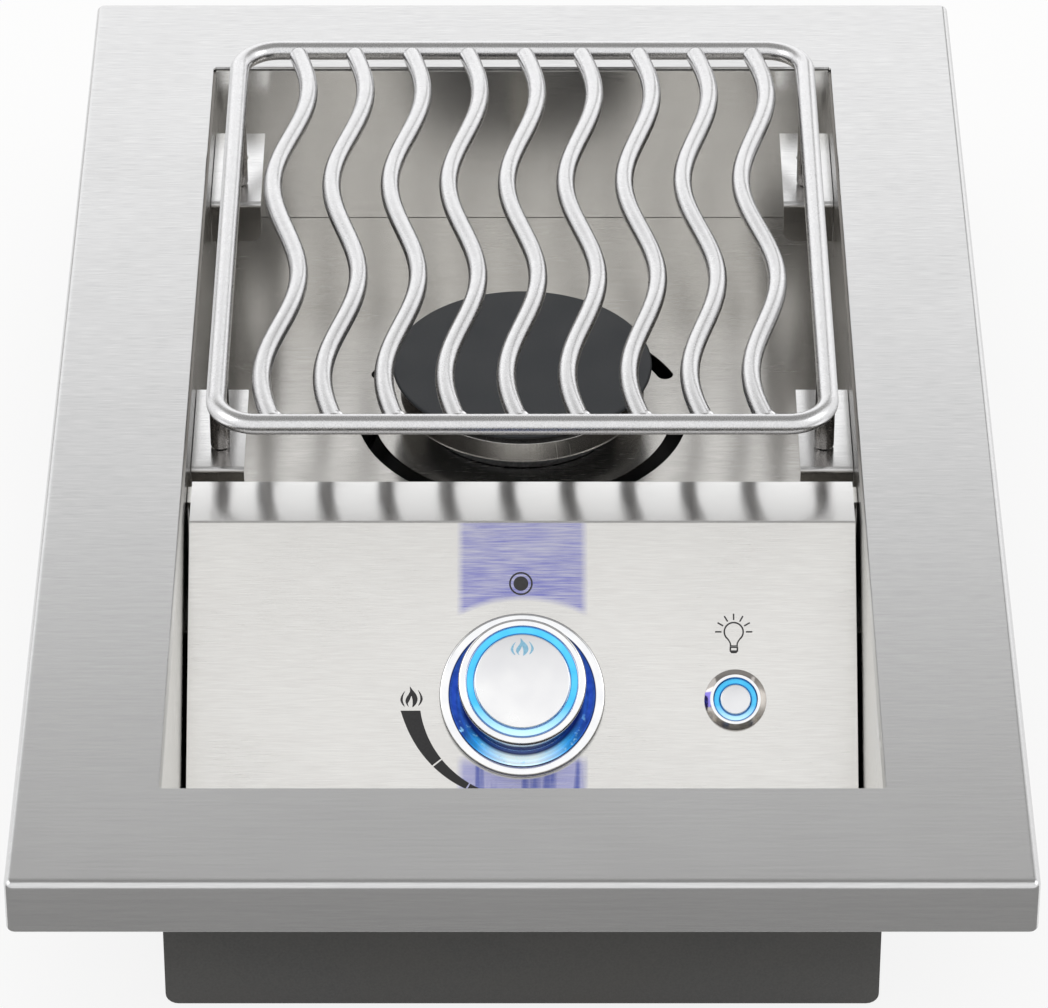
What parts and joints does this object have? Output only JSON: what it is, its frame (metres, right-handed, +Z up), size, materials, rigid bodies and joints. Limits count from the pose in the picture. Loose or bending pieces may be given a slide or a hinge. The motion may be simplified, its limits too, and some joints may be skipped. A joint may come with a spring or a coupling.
{
  "type": "built in side burner",
  "caption": "Drop-in single gas side burner for an outdoor kitchen counter, with a lift-off wave-rod grate, a round burner and a lit knob and light button on a sloped panel.",
  "frame": {"origin": "under the middle of the trim, on the underside of the casing", "axes": "+X to the right seen from the front, +Y from the knob to the rear, +Z up"},
  "size_m": [0.355, 0.584, 0.1145],
  "materials": {
    "trim_steel": "brushed stainless, grain across",
    "liner_steel": "brushed stainless",
    "panel_steel": "brushed stainless, grain across",
    "bracket_steel": "plain stainless sheet",
    "casing_paint": "dark grey, matt",
    "grate_rod": "satin stainless rod",
    "burner_steel": "turned stainless",
    "cap_enamel": "matt black enamel",
    "cast_aluminium": "as cast",
    "brass": "plain brass",
    "zinc_steel": "zinc plated",
    "bright_chrome": "polished",
    "knob_face_steel": "satin bright disc",
    "blue_light": "emissive, frosted lens",
    "black_plastic": "moulded",
    "ceramic": "glazed white",
    "lead_rubber": "silicone sleeve"
  },
  "bodies": {
    "casing": {"trim_frame": "trim_steel", "outer_casing": "casing_paint", "liner_left_wall": "liner_steel", "liner_right_wall": "liner_steel", "liner_rear_wall": "liner_steel", "liner_front_wall": "liner_steel", "burner_floor": "liner_steel", "heat_baffle": "liner_steel", "control_panel": "panel_steel", "grate_bracket_front_left": "bracket_steel", "grate_bracket_front_right": "bracket_steel", "grate_bracket_rear_left": "bracket_steel", "grate_bracket_rear_right": "bracket_steel", "burner_base": "cast_aluminium", "burner_head": "burner_steel", "burner_screw_left": "zinc_steel", "burner_screw_right": "zinc_steel", "venturi_tube": "zinc_steel", "gas_orifice": "brass", "gas_inlet_pipe": "brass", "gas_inlet_fitting": "brass", "gas_inlet_nut": "brass", "valve_bonnet": "zinc_steel", "gas_valve_body": "cast_aluminium", "valve_screw_left": "zinc_steel", "valve_screw_right": "zinc_steel", "knob_bezel": "bright_chrome", "bezel_light_ring": "blue_light", "light_switch_housing": "bright_chrome", "light_switch_ring": "blue_light", "light_switch_nut": "zinc_steel", "light_switch_base": "black_plastic", "igniter_ceramic": "ceramic", "igniter_electrode": "zinc_steel", "ignition_module": "black_plastic", "ignition_lead": "lead_rubber", "panel_screw_left": "zinc_steel", "panel_screw_right": "zinc_steel"},
    "grate": {"grate_frame": "grate_rod", "grate_rod_1": "grate_rod", "grate_rod_2": "grate_rod", "grate_rod_3": "grate_rod", "grate_rod_4": "grate_rod", "grate_rod_5": "grate_rod", "grate_rod_6": "grate_rod", "grate_rod_7": "grate_rod", "grate_rod_8": "grate_rod", "grate_rod_9": "grate_rod", "grate_leg_front_left": "grate_rod", "grate_leg_front_right": "grate_rod", "grate_leg_rear_left": "grate_rod", "grate_leg_rear_right": "grate_rod"},
    "burner_cap": {"burner_cap": "cap_enamel"},
    "valve_rotor": {"valve_plug": "brass"},
    "knob": {"valve_stem": "zinc_steel", "knob_body": "bright_chrome", "knob_light_ring": "blue_light", "knob_face": "knob_face_steel"},
    "light_button": {"light_button": "bright_chrome"}
  },
  "joints": [
    {"name": "grate_lift", "type": "slide", "parent": "casing", "child": "grate", "axis": [0, 0, 1], "range_m": [0, 0.15]},
    {"name": "burner_cap_lift", "type": "slide", "parent": "casing", "child": "burner_cap", "axis": [0, 0, 1], "range_m": [0, 0.045]},
    {"name": "knob_turn", "type": "hinge", "parent": "casing", "child": "valve_rotor", "pos_m": [0, -0.11217, 0.04034], "axis": [0, -0.6691, 0.7431], "range_deg": [0, 180]},
    {"name": "knob_push", "type": "slide", "parent": "valve_rotor", "child": "knob", "axis": [0, 0.6691, -0.7431], "range_m": [0, 0.003], "stiffness_N_per_m": 1500, "springref_m": -0.003},
    {"name": "light_button_push", "type": "slide", "parent": "casing", "child": "light_button", "axis": [0, 0.6691, -0.7431], "range_m": [0, 0.0015], "stiffness_N_per_m": 800, "springref_m": -0.002}
  ]
}
